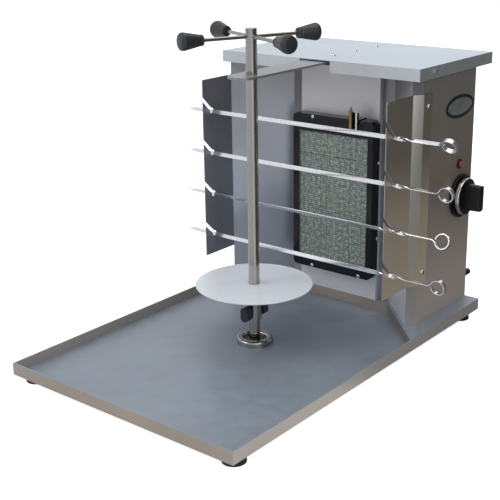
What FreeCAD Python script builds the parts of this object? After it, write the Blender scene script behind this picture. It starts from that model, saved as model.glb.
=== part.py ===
# Gas doner kebab grill: drip tray, turning spindle, housing with a ceramic burner, wings and skewers.
# Frame: +Z up, origin on the worktop under the middle of the tray, the open tray towards -Y.
import FreeCAD, Part
import math
import os
import re
import Sketcher
from FreeCAD import Placement, Rotation, Vector

doc = FreeCAD.newDocument("doner_grill")
sheet = doc.addObject("Spreadsheet::Sheet", "sizes")

SIZES = [
    # tray
    ("tray_width", 500), ("tray_depth", 764), ("lip_height", 22), ("lip_wall", 3), ("tray_gauge", 1.5),
    ("floor_rise", 1.5), ("well_back", 250), ("well_corner", 119), ("flange_width", 45),
    # feet
    ("foot_height", 15), ("foot_wide", 40), ("foot_narrow", 34), ("foot_inset_x", 25), ("foot_inset_y", 32),
    ("foot_recess", 18), ("foot_recess_deep", 8), ("foot_stud", 6), ("foot_stud_low", 3), ("foot_nut", 11),
    ("foot_nut_high", 5),
    # spindle and its bearings
    ("spindle_y", -20), ("spindle_wide", 20), ("spindle_rise", 75), ("spindle_round", 1), ("run_gap", 0.05),
    ("rest_gap", 0.3), ("cup_wide", 68), ("cup_height", 12), ("cup_recess", 42), ("cup_floor", 3),
    ("cup_round", 5), ("bush_height", 3), ("cup_screw", 5), ("cup_screw_circle", 54), ("cup_screw_count", 3),
    ("screw_depth", 5),
    # cross handle
    ("rod_wide", 6.5), ("rod_drop", 14.5), ("rod_turn", 67), ("rod_start", 4), ("rod_length", 121),
    ("rod_bite", 34), ("grip_length", 43), ("grip_wide", 31), ("grip_neck", 19), ("grip_round", 6),
    # meat disc
    ("disc_wide", 214), ("disc_gauge", 2), ("disc_height", 97), ("disc_gap", 0.3), ("collar_wide", 26),
    ("collar_length", 67), ("clamp_below", 54), ("clamp_stud", 6), ("clamp_reach", 18),
    ("paddle_wide", 16), ("paddle_high", 28), ("paddle_deep", 14),
    # support arm
    ("arm_width", 52), ("arm_gauge", 4), ("arm_overhang", 50), ("arm_behind", 10), ("arm_drop", 2),
    ("arm_bolt", 5), ("bolt_first", 225), ("bolt_pitch", 75.4), ("spacer_wide", 14),
    # hood
    ("hood_side_gap", 2.8), ("hood_front", 165), ("hood_behind", 56), ("hood_top", 519), ("hood_lip", 22),
    ("hood_gauge", 1.2), ("notch_width", 68), ("side_screw", 5), ("side_screw_y", 218),
    ("side_screw_drop", 10), ("side_spacer_ratio", 0.9),
    # screw heads and nuts, as ratios of the thread
    ("head_ratio", 1.9), ("head_high_ratio", 0.6), ("low_head_ratio", 0.28), ("nut_wide_ratio", 0.92),
    ("nut_high_ratio", 0.8), ("hex_ratio", 0.62),
    # housing
    ("wall_x", 219), ("wall_front", 187), ("nose_x", 207), ("nose_y", 170), ("wall_rear", 382),
    ("back_y", 260), ("back_half", 117), ("panel_gauge", 1.2), ("rear_flange", 15),
    ("plate_side", 7), ("plate_deep", 10), ("plate_top", 495),
    ("vent_width", 60), ("vent_height", 6), ("vent_pitch", 22), ("vent_count", 7), ("vent_x", 40),
    ("vent_first", 330), ("cover_screw", 4), ("cover_screw_inset", 40),
    # wings
    ("wing_front", 84), ("wing_rear", 216), ("wing_bottom", 115), ("wing_top", 472), ("wing_gauge", 1.5),
    ("wing_round", 3), ("wing_screw", 5), ("wing_screw_y", 203), ("wing_screw_inset", 23),
    ("slot_wide", 6.4), ("slot_y", 110), ("slot_first", 156.5), ("slot_pitch", 84), ("slot_tilt", 44.5),
    ("slot_bore", 11),
    # skewers
    ("skewer_length", 600), ("skewer_shift", 27), ("blade_wide", 8), ("blade_gauge", 2),
    ("point_length", 22), ("twist_start", 186), ("twist_length", 59), ("twist_step", 15),
    ("loop_wide", 28), ("loop_bend", 12), ("loop_sweep", 325),
    # burner
    ("body_half", 84), ("frame_side", 9), ("window_lap", 3), ("frame_bottom", 85), ("frame_top", 401),
    ("frame_deep", 25), ("frame_gauge", 1.5), ("band_low", 17), ("band_high", 34), ("frame_round", 10),
    ("louvre_high", 3), ("louvre_pitch", 7), ("louvre_proud", 2.5), ("louvre_inset", 14),
    ("tile_set", 6), ("tile_gauge", 13), ("tile_pitch", 113), ("tile_gap", 1),
    ("mesh_wire", 1.2), ("mesh_pitch", 12.5), ("mesh_lap", 4),
    ("body_deep", 45), ("body_inset", 10), ("body_wall", 3), ("mixer_wide", 34), ("mixer_wall", 3),
    ("mixer_length", 60), ("mixer_inset", 4), ("mixer_height", 150),
    ("injector_wide", 10), ("injector_bore", 1.2), ("injector_length", 8), ("injector_inset", 12),
    ("spider_wide", 4),
    ("burner_screw", 4), ("front_screw_shift", 10), ("front_screw_half", 56), ("front_screw_inset", 4.5),
    ("side_screw_set", 22), ("side_screw_below", 82),
    ("pilot_x", 46), ("pilot_wide", 7), ("pilot_above", 18), ("pilot_below", 16),
    ("bracket_gauge", 1.2), ("bracket_drop", 3), ("probe_wide", 4), ("probe_x", 58), ("probe_ratio", 1.5),
    # gas way
    ("valve_y", 340), ("valve_z", 255), ("valve_wide", 26), ("valve_length", 44), ("stem_wide", 8),
    ("stem_reach", 24), ("stem_socket", 18), ("stem_gap", 1), ("pipe_wide", 8), ("pipe_bore", 6),
    ("feed_bend", 14), ("supply_bend", 16), ("inlet_z", 68), ("inlet_wide", 21),
    ("inlet_bore", 8), ("inlet_length", 24), ("inlet_nut", 6), ("tail_wide", 13), ("tail_length", 54),
    # controls
    ("bezel_wide", 84), ("bezel_deep", 6), ("skirt_wide", 72), ("skirt_deep", 7), ("knob_wide", 52),
    ("knob_deep", 37), ("knob_bar", 20), ("knob_push", 3), ("trim_deep", 2),
    ("badge_wide", 105), ("badge_high", 43), ("badge_gauge", 1.5), ("badge_y", 323), ("badge_z", 431),
    ("spark_y", 331), ("spark_z", 319), ("spark_wide", 12), ("spark_ring", 18), ("spark_ring_deep", 2.5),
    ("spark_proud", 6), ("spark_travel", 4), ("spark_body", 40), ("spark_floor", 6), ("spark_wall", 1),
]
for row, (alias, value) in enumerate(SIZES, start=1):
    sheet.set("A%d" % row, alias.replace("_", " "))
    sheet.set("B%d" % row, str(value))
    sheet.setAlias("B%d" % row, alias)
doc.recompute()
ALIASES = {alias for alias, value in SIZES}

# levels and places that several pieces share
FLOOR_UNDER = "(foot_height + floor_rise)"
FLOOR = "(foot_height + floor_rise + tray_gauge)"
DECK = "(foot_height + lip_height)"
HOOD_UNDER = "(hood_top - hood_gauge)"
HOOD_HALF = "(wall_x + hood_side_gap + hood_gauge)"
HOOD_REAR = "(wall_rear + hood_behind)"
ARM_TOP = "(hood_top - hood_gauge - arm_drop)"
SPINDLE_TOP = "(hood_top + spindle_rise)"
DISC_TOP = "(foot_height + lip_height + disc_height)"
CLAMP_LEVEL = "(foot_height + lip_height + disc_height - clamp_below)"
WELL_SUM = "(well_back + well_corner)"
BLADE_DROP = "((slot_bore - blade_wide)/2 - rest_gap)"
PLATE_FRONT = "(back_y - plate_deep)"
FRAME_FRONT = "(back_y - plate_deep - frame_deep)"
FRAME_HALF = "(body_half + frame_side)"
WINDOW_HALF = "(body_half - window_lap)"
WINDOW_BOTTOM = "(frame_bottom + band_low)"
WINDOW_TOP = "(frame_top - band_high)"
BODY_REAR = "(back_y + body_deep)"
BODY_LOW = "(frame_bottom + body_inset)"
BODY_HIGH = "(frame_top - body_inset)"
TILE_FRONT = "(back_y - plate_deep - frame_deep + tile_set)"
TILE_BACK = "(back_y - plate_deep - frame_deep + tile_set + tile_gauge)"
MIX_Y = "(back_y + body_deep - mixer_wide/2 - mixer_inset)"
PILOT_Y = "(back_y - plate_deep - frame_deep - louvre_proud - pilot_wide/2)"
nodes = {}


def expression(text):
    """Point each size name in the text at its cell."""
    return re.sub(r"[a-z_]+", lambda m: "sizes." + m.group(0) if m.group(0) in ALIASES else m.group(0), text)


def value_of(text):
    result = sheet.evalExpression(expression(text))
    return float(getattr(result, "Value", result))


def bind(obj, **texts):
    for name, text in texts.items():
        obj.setExpression(name, expression(text))
    return obj


def place(obj, at, rotation=None):
    """Put an object at three size expressions, turned by a fixed rotation."""
    obj.Placement = Placement(Vector(*[value_of(text) for text in at]), rotation or Rotation())
    for axis, text in zip("xyz", at):
        obj.setExpression("Placement.Base." + axis, expression(text))
    return obj


ALONG = {
    "x": Rotation(Vector(0, 1, 0), 90), "-x": Rotation(Vector(0, 1, 0), -90),
    "y": Rotation(Vector(1, 0, 0), -90), "-y": Rotation(Vector(1, 0, 0), 90),
    "z": Rotation(), "-z": Rotation(Vector(1, 0, 0), 180),
}


def cylinder(radius, height, at, along="z"):
    return place(bind(doc.addObject("Part::Cylinder", "cyl"), Radius=radius, Height=height), at, ALONG[along])


def prism(sides, circumradius, height, at, along="z"):
    obj = bind(doc.addObject("Part::Prism", "prism"), Circumradius=circumradius, Height=height)
    obj.Polygon = sides
    return place(obj, at, ALONG[along])


def block(low, high):
    """A box between two corners given as expressions."""
    sizes = ["(%s) - (%s)" % (top, bottom) for bottom, top in zip(low, high)]
    box = bind(doc.addObject("Part::Box", "box"), Length=sizes[0], Width=sizes[1], Height=sizes[2])
    return place(box, low)


def fuse(*parts):
    if len(parts) == 1:
        return parts[0]
    obj = doc.addObject("Part::MultiFuse", "fuse")
    obj.Shapes = list(parts)
    return obj


def cut(base, *tools):
    obj = doc.addObject("Part::Cut", "cut")
    obj.Base = base
    obj.Tool = fuse(*tools)
    return obj


def group(parts):
    obj = doc.addObject("Part::Compound", "group")
    obj.Links = list(parts)
    return obj


def node(label, obj):
    obj.Label = label
    nodes[label] = obj
    return obj


def mirrored(source):
    """The same piece on the other side of the middle plane."""
    obj = doc.addObject("Part::Mirroring", "mirror")
    obj.Source = source
    obj.Normal = Vector(1, 0, 0)
    return obj


def new_body(name):
    return doc.addObject("PartDesign::Body", name)


def plane_of(body, role):
    return next(feature for feature in body.Origin.OriginFeatures if feature.Role == role)


def outline(body, role, corners, level="0"):
    """A closed sketch on an origin plane, every corner held by its two distances from the origin."""
    sketch = body.newObject("Sketcher::SketchObject", "outline")
    sketch.AttachmentSupport = [(plane_of(body, role), "")]
    sketch.MapMode = "FlatFace"
    sketch.setExpression("AttachmentOffset.Base.z", expression(level))
    spots = [Vector(value_of(across), value_of(up), 0) for across, up in corners]
    count = len(spots)
    for i, spot in enumerate(spots):
        sketch.addGeometry(Part.LineSegment(spot, spots[(i + 1) % count]), False)
    for i in range(count):
        sketch.addConstraint(Sketcher.Constraint("Coincident", i, 2, (i + 1) % count, 1))
    for i, corner in enumerate(corners):
        for kind, text, number in zip(("DistanceX", "DistanceY"), corner, (spots[i].x, spots[i].y)):
            held = sketch.addConstraint(Sketcher.Constraint(kind, -1, 1, i, 1, number))
            sketch.setExpression("Constraints[%d]" % held, expression(text))
    return sketch


def pad(body, sketch, length, backwards=False):
    feature = body.newObject("PartDesign::Pad", "pad")
    feature.Profile = sketch
    feature.Reversed = backwards
    bind(feature, Length=length)
    return feature


def pocket(body, sketch, length, backwards=False):
    feature = body.newObject("PartDesign::Pocket", "pocket")
    feature.Profile = sketch
    feature.Reversed = backwards
    bind(feature, Length=length)
    return feature


def rounded(body, feature, radius, chosen):
    """Fillet the edges of a feature that the test picks."""
    doc.recompute()
    names = ["Edge%d" % i for i, edge in enumerate(feature.Shape.Edges, start=1) if chosen(edge)]
    fillet = body.newObject("PartDesign::Fillet", "fillet")
    fillet.Base = (feature, names)
    bind(fillet, Radius=radius)
    return fillet


def turned(name, profile):
    """A turned piece about its own Z axis, from radius and height pairs."""
    body = new_body(name)
    sketch = outline(body, "XZ_Plane", profile)
    feature = body.newObject("PartDesign::Revolution", "turn")
    feature.Profile = sketch
    feature.ReferenceAxis = (sketch, ["V_Axis"])
    feature.Angle = 360
    return body, feature


def offset_path(points, gauge, before=None, after=None):
    """Points moved to the left of the path by the gauge, with mitred corners."""
    chain = ([before] if before else []) + points + ([after] if after else [])
    moved = []
    for i in range(len(chain)):
        sides = [(chain[k], chain[k + 1]) for k in (i - 1, i) if 0 <= k < len(chain) - 1]
        normals = []
        for start, end in sides:
            run = (end - start).normalize()
            normals.append(Vector(-run.y, run.x, 0))
        middle = Vector()
        for normal in normals:
            middle = middle + normal
        middle.normalize()
        moved.append(chain[i] + middle * (gauge / middle.dot(normals[0])))
    if before:
        moved = moved[1:]
    if after:
        moved = moved[:-1]
    return moved


def bent_sheet(name, path, gauge, bottom, height, before=None, after=None):
    """A bent sheet: a plan path with its gauge to the left, raised from bottom by height."""
    spots = [Vector(value_of(x), value_of(y), 0) for x, y in path]
    ends = [Vector(value_of(p[0]), value_of(p[1]), 0) if p else None for p in (before, after)]
    inner = offset_path(spots, value_of(gauge), *ends)
    corners = path + [(repr(round(p.x, 6)), repr(round(p.y, 6))) for p in reversed(inner)]
    body = new_body(name)
    pad(body, outline(body, "XY_Plane", corners, bottom), height)
    return body


def screw(wide, length, at, along, head_high="head_high_ratio"):
    """A pan head screw whose head sits outside the point and whose shank runs along the direction."""
    back = {"x": "-x", "-x": "x", "y": "-y", "-y": "y", "z": "-z", "-z": "z"}[along]
    shank = cylinder("%s/2" % wide, length, at, along)
    cap = cylinder("%s*head_ratio/2" % wide, "%s*%s" % (wide, head_high), at, back)
    return fuse(shank, cap)


# the tray: one bent sheet with a hemmed lip, a deck behind and a well with slanted rear corners
def make_tray():
    half_w, half_d = "tray_width/2", "tray_depth/2"
    body = new_body("tray")
    corners = [("-" + half_w, "-" + half_d), (half_w, "-" + half_d), (half_w, half_d), ("-" + half_w, half_d)]
    pad(body, outline(body, "XY_Plane", corners, "foot_height"), "lip_height")
    inner_x, inner_y = half_w + " - lip_wall", half_d + " - lip_wall"
    slope = "%s - (%s)" % (WELL_SUM, inner_x)
    well = [("-(%s)" % inner_x, "-(%s)" % inner_y), (inner_x, "-(%s)" % inner_y), (inner_x, slope),
            ("well_corner", "well_back"), ("-well_corner", "well_back"), ("-(%s)" % inner_x, slope)]
    pocket(body, outline(body, "XY_Plane", well, DECK), "lip_height - floor_rise - tray_gauge")
    under = [("-(%s)" % inner_x, "-(%s)" % inner_y), (inner_x, "-(%s)" % inner_y), (inner_x, inner_y),
             ("-(%s)" % inner_x, inner_y)]
    pocket(body, outline(body, "XY_Plane", under, "foot_height"), "floor_rise", True)
    outer_sum = "(%s + tray_gauge*sqrt(2))" % WELL_SUM
    behind = "(well_back + tray_gauge)"
    cavity = [("-(%s)" % inner_x, "%s - (%s)" % (outer_sum, inner_x)), ("-(%s)" % inner_x, inner_y),
              (inner_x, inner_y), (inner_x, "%s - (%s)" % (outer_sum, inner_x)),
              ("%s - %s" % (outer_sum, behind), behind), ("%s - %s" % (behind, outer_sum), behind)]
    pocket(body, outline(body, "XY_Plane", cavity, FLOOR), "lip_height - floor_rise - 2*tray_gauge", True)
    open_x = "(%s - flange_width)" % inner_x
    open_y = "(%s - flange_width)" % inner_y
    opening = [("-" + open_x, "well_back + flange_width/2"), (open_x, "well_back + flange_width/2"),
               (open_x, open_y), ("-" + open_x, open_y)]
    pocket(body, outline(body, "XY_Plane", opening, FLOOR_UNDER), "tray_gauge", True)
    node("base_tray", body)


def make_feet():
    x, y = "(tray_width/2 - foot_inset_x)", "(tray_depth/2 - foot_inset_y)"
    tall = "(foot_height + floor_rise)"
    spots = {"front_left": ("-" + x, "-" + y), "front_right": (x, "-" + y),
             "rear_left": ("-" + x, y), "rear_right": (x, y)}
    studs = []
    for corner, (across, along) in spots.items():
        profile = [("foot_stud/2", "foot_recess_deep"), ("foot_recess/2", "foot_recess_deep"),
                   ("foot_recess/2", "0"), ("foot_wide/2", "0"), ("foot_narrow/2", tall),
                   ("foot_stud/2", tall)]
        body, feature = turned("foot_" + corner, profile)
        place(body, (across, along, "0"))
        node("foot_" + corner, body)
        stud = cylinder("foot_stud/2", tall + " - foot_stud_low", (across, along, "foot_stud_low"))
        nut_level = "foot_recess_deep - foot_nut_high"
        nut = prism(6, "foot_nut/2", "foot_nut_high", (across, along, nut_level))
        studs.append(fuse(stud, nut))
    node("foot_studs", group(studs))


def make_cup():
    body, feature = turned("cup", [("0", "0"), ("cup_wide/2", "0"), ("cup_wide/2", "cup_height"),
                                   ("cup_recess/2", "cup_height"), ("cup_recess/2", "cup_floor"),
                                   ("0", "cup_floor")])
    top = value_of("cup_height")
    rounded(body, feature, "cup_round",
            lambda edge: abs(edge.BoundBox.ZMin - top) < 1e-6 and abs(edge.BoundBox.ZMax - top) < 1e-6
            and edge.BoundBox.XLength > 1)
    place(body, ("0", "spindle_y", FLOOR))
    screws = []
    holes = []
    for k in range(int(value_of("cup_screw_count"))):
        angle = "90 + %d*360/cup_screw_count" % k
        x = "cup_screw_circle/2*cos(%s)" % angle
        y = "spindle_y + cup_screw_circle/2*sin(%s)" % angle
        spot = (x, y, FLOOR_UNDER)
        screws.append(screw("cup_screw", "screw_depth + tray_gauge", spot, "z", "low_head_ratio"))
        holes.append(cylinder("cup_screw/2", "screw_depth + tray_gauge", spot))
    node("spindle_cup", cut(body, *holes))
    node("cup_screws", group(screws))
    nodes["base_tray"] = node("base_tray", cut(nodes["base_tray"], *holes))
    level = "%s + cup_floor" % FLOOR
    ring = cylinder("cup_recess/2", "bush_height", ("0", "spindle_y", level))
    bore = cylinder("spindle_wide/2 + run_gap", "bush_height", ("0", "spindle_y", level))
    node("pivot_bush", cut(ring, bore))


def rod_frame(number):
    """How a rod of the cross lies: its direction and the point on the axis that it starts from."""
    facing = Rotation(Vector(0, 0, 1), value_of("rod_turn") + 90 * (number + 1)).multiply(ALONG["x"])
    return facing, Vector(0, value_of("spindle_y"), value_of(SPINDLE_TOP + " - rod_drop"))


def make_spindle():
    level = "%s + cup_floor + rest_gap" % FLOOR
    bar = cylinder("spindle_wide/2", "%s - (%s)" % (SPINDLE_TOP, level), ("0", "spindle_y", level))
    doc.recompute()
    soft = doc.addObject("Part::Fillet", "soft")
    soft.Base = bar
    top = value_of(SPINDLE_TOP)
    soft.Edges = [(i, value_of("spindle_round"), value_of("spindle_round"))
                  for i, edge in enumerate(bar.Shape.Edges, start=1) if edge.BoundBox.ZMin > top - 0.01]
    rods = []
    holes = []
    for number in range(1, 5):
        facing, middle = rod_frame(number)
        for made in (rods, holes):
            rod = bind(doc.addObject("Part::Cylinder", "rod"), Radius="rod_wide/2", Height="rod_length")
            rod.Placement = Placement(middle + facing.multVec(Vector(0, 0, value_of("rod_start"))), facing)
            made.append(rod)
    node("handle_rods", group(rods))
    node("spindle", cut(soft, *holes))


def make_grips():
    for number in range(1, 5):
        profile = [("rod_wide/2", "0"), ("grip_neck/2", "0"), ("grip_wide/2", "grip_length - grip_round"),
                   ("grip_wide/2 - grip_round/3", "grip_length"), ("0", "grip_length"), ("0", "rod_bite"),
                   ("rod_wide/2", "rod_bite")]
        body, feature = turned("grip_%d" % number, profile)
        outer = value_of("grip_length - grip_round") - 1e-3
        rounded(body, feature, "grip_round/3",
                lambda edge: edge.BoundBox.ZMin > outer and edge.Length > 20)
        facing, middle = rod_frame(number)
        start = facing.multVec(Vector(0, 0, value_of("rod_start + rod_length - rod_bite")))
        body.Placement = Placement(start + middle, facing)
        node("handle_grip_%d" % number, body)


def make_disc():
    bottom = "(%s - disc_gauge)" % DISC_TOP
    hole = "spindle_wide/2 + disc_gap"
    plate = cylinder("disc_wide/2", "disc_gauge", ("0", "spindle_y", bottom))
    bore = cylinder(hole, "disc_gauge", ("0", "spindle_y", bottom))
    node("meat_disc", cut(plate, bore))
    low = "(%s - disc_gauge - collar_length)" % DISC_TOP
    tube = cylinder("collar_wide/2", "collar_length", ("0", "spindle_y", low))
    inside = cylinder("spindle_wide/2 + run_gap", "collar_length", ("0", "spindle_y", low))
    threads = [cylinder("clamp_stud/2 + run_gap", "collar_wide/2", ("0", "spindle_y", CLAMP_LEVEL), way)
               for way in ("y", "-y")]
    node("disc_collar", cut(tube, inside, *threads))
    for name, sign, way in (("front", "-", "-y"), ("rear", "+", "y")):
        near = "spindle_y %s (spindle_wide/2 + rest_gap)" % sign
        far = "spindle_y %s (collar_wide/2 + clamp_reach - paddle_deep)" % sign
        reach = "collar_wide/2 + clamp_reach - paddle_deep - spindle_wide/2 - rest_gap"
        stud = cylinder("clamp_stud/2", reach, ("0", near, CLAMP_LEVEL), way)
        low, high = [CLAMP_LEVEL + " %s (paddle_high - paddle_wide)/2" % side for side in ("-", "+")]
        ends = [cylinder("paddle_wide/2", "paddle_deep", ("0", far, level), way) for level in (low, high)]
        other = "spindle_y %s (collar_wide/2 + clamp_reach)" % sign
        low_y, high_y = (other, far) if sign == "-" else (far, other)
        middle = block(("-paddle_wide/2", low_y, low), ("paddle_wide/2", high_y, high))
        node("clamp_knob_" + name, fuse(stud, middle, *ends))


def bolt_rows():
    return ["(bolt_first + %d*bolt_pitch)" % k for k in range(3)]


def make_arm():
    low = "(%s - arm_gauge)" % ARM_TOP
    centre = "(spindle_y - arm_overhang + arm_width/2)"
    tip = cylinder("arm_width/2", "arm_gauge", ("0", centre, low))
    strip = block(("-arm_width/2", centre, low), ("arm_width/2", "wall_rear + arm_behind", ARM_TOP))
    hole = cylinder("spindle_wide/2 + run_gap", "arm_gauge", ("0", "spindle_y", low))
    bolts = [cylinder("arm_bolt/2", "arm_gauge", ("0", y, low)) for y in bolt_rows()]
    node("support_arm", cut(fuse(tip, strip), hole, *bolts))
    rings = [cut(cylinder("spacer_wide/2", "arm_drop", ("0", y, ARM_TOP)),
                 cylinder("arm_bolt/2", "arm_drop", ("0", y, ARM_TOP))) for y in bolt_rows()]
    node("arm_spacers", group(rings))
    reach = "(hood_gauge + arm_drop + arm_gauge)"
    screws = [screw("arm_bolt", reach + " + arm_bolt", ("0", y, "hood_top"), "-z") for y in bolt_rows()]
    node("hood_top_screws", group(screws))
    nuts = []
    for y in bolt_rows():
        spot = ("0", y, low + " - nut_high_ratio*arm_bolt")
        nuts.append(cut(prism(6, "arm_bolt*nut_wide_ratio", "nut_high_ratio*arm_bolt", spot),
                        cylinder("arm_bolt/2", "nut_high_ratio*arm_bolt", spot)))
    node("arm_nuts", group(nuts))


def make_hood():
    half = HOOD_HALF
    outer = block(("-" + half, "hood_front", "hood_top - hood_lip"), (half, HOOD_REAR, "hood_top"))
    inner = block(("hood_gauge - " + half, "hood_front + hood_gauge", "hood_top - hood_lip"),
                  (half + " - hood_gauge", HOOD_REAR + " - hood_gauge", HOOD_UNDER))
    notch = block(("-notch_width/2", "hood_front", "hood_top - hood_lip"),
                  ("notch_width/2", "hood_front + hood_gauge", HOOD_UNDER))
    holes = [cylinder("arm_bolt/2", "hood_gauge", ("0", y, HOOD_UNDER)) for y in bolt_rows()]
    level = "(hood_top - side_screw_drop)"
    screws = []
    gaps = []
    for sign, way in (("", "-x"), ("-", "x")):
        spot = (sign + HOOD_HALF, "side_screw_y", level)
        inner_face = ("%s(wall_x + hood_side_gap)" % sign, "side_screw_y", level)
        reach = "hood_side_gap + hood_gauge + panel_gauge + side_screw"
        screws.append(fuse(screw("side_screw", reach, spot, way),
                           cylinder("side_screw*side_spacer_ratio", "hood_side_gap", inner_face, way)))
        gaps.append(cylinder("side_screw/2", reach, spot, way))
    node("hood", cut(outer, inner, notch, *(holes + gaps)))
    node("hood_side_screws", group(screws))
    return gaps


def wall_path():
    return [("wall_x - rear_flange", "wall_rear - panel_gauge"), ("wall_x", "wall_rear - panel_gauge"),
            ("wall_x", "wall_front"), ("nose_x", "nose_y")]


def wing_screw_spots(sign):
    x = "%s(wall_x + wing_gauge)" % sign
    return [(x, "wing_screw_y", "wing_bottom + wing_screw_inset"),
            (x, "wing_screw_y", "wing_top - wing_screw_inset")]


def flip(pairs):
    """The path mirrored across the middle plane, in reverse order."""
    return [("-(%s)" % x, y) for x, y in reversed(pairs)]


def make_walls(hood_gaps):
    rise = "%s - %s" % (HOOD_UNDER, DECK)
    turn_point = ("back_half", "back_y")
    right = bent_sheet("right_wall", wall_path(), "-panel_gauge", DECK, rise, after=turn_point)
    left = bent_sheet("left_wall", flip(wall_path()), "-panel_gauge", DECK, rise,
                      before=("-back_half", "back_y"))
    reach = "wing_gauge + panel_gauge + wing_screw"
    screws = []
    for name, body, sign, way in (("left", left, "-", "x"), ("right", right, "", "-x")):
        holes = [cylinder("wing_screw/2", reach, spot, way) for spot in wing_screw_spots(sign)]
        screws += [screw("wing_screw", reach, spot, way) for spot in wing_screw_spots(sign)]
        if name == "right":
            holes.append(cylinder("stem_wide/2 + stem_gap", "4*panel_gauge",
                                  ("wall_x + panel_gauge", "valve_y", "valve_z"), "-x"))
            holes.append(cylinder("spark_wide/2 + spark_wall", "4*panel_gauge",
                                  ("wall_x + panel_gauge", "spark_y", "spark_z"), "-x"))
        node(name + "_side_panel", cut(body, *(holes + hood_gaps)))
    node("wing_screws", group(screws))
    path = [("-nose_x", "nose_y"), ("-back_half", "back_y"), ("back_half", "back_y"), ("nose_x", "nose_y")]
    shell = bent_sheet("reflector", path, "panel_gauge", DECK, rise,
                       before=("-wall_x", "wall_front"), after=("wall_x", "wall_front"))
    window = block(("-body_half", "back_y - panel_gauge", BODY_LOW),
                   ("body_half", "back_y + 2*panel_gauge", BODY_HIGH))
    node("reflector", cut(shell, window, arm_gap("back_y", "panel_gauge")))


def arm_gap(back, gauge):
    """The notch that lets the support arm pass through an upright sheet."""
    side = "(arm_width/2 + rest_gap)"
    return block(("-" + side, back, "%s - arm_gauge - rest_gap" % ARM_TOP),
                 (side, "%s + %s" % (back, gauge), HOOD_UNDER))


def front_screw_spots():
    """The frame's screws in its lower band, and one in its upper band."""
    left = "(front_screw_shift - front_screw_half)"
    right = "(front_screw_shift + front_screw_half)"
    low, high = "(frame_bottom + front_screw_inset)", "(frame_top - front_screw_inset)"
    return [(left, FRAME_FRONT, low), (right, FRAME_FRONT, low), (left, FRAME_FRONT, high)]


def make_burner_plate():
    half = "(body_half + plate_side)"
    front = block(("-" + half, PLATE_FRONT, DECK), (half, "back_y", "plate_top"))
    hollow = block(("panel_gauge - " + half, PLATE_FRONT + " + panel_gauge", DECK),
                   (half + " - panel_gauge", "back_y", "plate_top - panel_gauge"))
    window = block(("-body_half", PLATE_FRONT, BODY_LOW),
                   ("body_half", PLATE_FRONT + " + panel_gauge", BODY_HIGH))
    reach = "frame_deep + panel_gauge"
    holes = [cylinder("burner_screw/2", reach, spot, "y") for spot in front_screw_spots()]
    node("burner_plate", cut(front, hollow, window, *holes))


def make_rear_cover():
    body = new_body("rear")
    corners = [("-wall_x", DECK), ("wall_x", DECK), ("wall_x", HOOD_UNDER), ("-wall_x", HOOD_UNDER)]
    pad(body, outline(body, "XZ_Plane", corners, "-wall_rear"), "panel_gauge")
    for sign in ("", "-"):
        mid = sign + "(vent_x + vent_width/2)"
        slot = [("%s - vent_width/2" % mid, "vent_first"), ("%s + vent_width/2" % mid, "vent_first"),
                ("%s + vent_width/2" % mid, "vent_first + vent_height"),
                ("%s - vent_width/2" % mid, "vent_first + vent_height")]
        sketch = outline(body, "XZ_Plane", slot, "-wall_rear")
        slit = pocket(body, sketch, "panel_gauge", True)
        rows = body.newObject("PartDesign::LinearPattern", "vents")
        rows.Originals = [slit]
        rows.Direction = (sketch, ["V_Axis"])
        bind(rows, Occurrences="vent_count", Length="(vent_count - 1)*vent_pitch")
        body.Tip = rows
    screws = []
    holes = []
    for sign in ("", "-"):
        for k in range(3):
            z = "%s + cover_screw_inset + %d*(%s - %s - 2*cover_screw_inset)/2" % (DECK, k, HOOD_UNDER, DECK)
            spot = ("%s(wall_x - rear_flange/2)" % sign, "wall_rear", z)
            screws.append(screw("cover_screw", "2*panel_gauge + cover_screw", spot, "-y"))
            holes.append(cylinder("cover_screw/2", "2*panel_gauge + cover_screw", spot, "-y"))
    node("rear_cover", cut(body, arm_gap("wall_rear - panel_gauge", "panel_gauge"), *holes))
    node("rear_cover_screws", group(screws))
    for name in ("left_side_panel", "right_side_panel"):
        node(name, cut(nodes[name], *holes))


def make_wings():
    path = [("nose_x", "wing_front"), ("nose_x", "nose_y"), ("wall_x", "wall_front"), ("wall_x", "wing_rear")]
    body = bent_sheet("wing", path, "-wing_gauge", "wing_bottom", "wing_top - wing_bottom")
    tools = [cylinder("wing_screw/2", "4*wing_gauge", ("wall_x + 2*wing_gauge", "wing_screw_y", z), "-x")
             for x, y, z in wing_screw_spots("")]
    for k in range(4):
        z = "(slot_first + %d*slot_pitch)" % k
        tools.append(cylinder("slot_bore/2", "6*wing_gauge", ("nose_x - wing_gauge", "slot_y", z), "x"))
        mouth = bind(doc.addObject("Part::Box", "mouth"), Length="6*wing_gauge",
                     Width="3*(slot_y - wing_front)", Height="slot_wide")
        lean = Rotation(Vector(1, 0, 0), 180 - value_of("slot_tilt"))
        start = Vector(value_of("nose_x - wing_gauge"), value_of("slot_y"), value_of(z))
        mouth.Placement = Placement(start + lean.multVec(Vector(0, 0, -value_of("slot_wide") / 2)), lean)
        tools.append(mouth)
    square = block(("nose_x - wing_gauge", "wing_front", "wing_top - wing_round"),
                   ("nose_x + 2*wing_gauge", "wing_front + wing_round", "wing_top"))
    disc = cylinder("wing_round", "3*wing_gauge", ("nose_x - wing_gauge", "wing_front + wing_round",
                                                   "wing_top - wing_round"), "x")
    tools.append(cut(square, disc))
    right = node("right_wing", cut(body, *tools))
    node("left_wing", mirrored(right))


def blade_section(at, angle):
    """The blade's cross section at a distance along the skewer, turned about it."""
    half_w, half_g = value_of("blade_wide/2"), value_of("blade_gauge/2")
    turn = Rotation(Vector(1, 0, 0), angle)
    corners = [turn.multVec(Vector(0, y, z)) + Vector(at, 0, 0)
               for y, z in ((-half_g, -half_w), (half_g, -half_w), (half_g, half_w), (-half_g, half_w))]
    return Part.makePolygon(corners + corners[:1])


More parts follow.
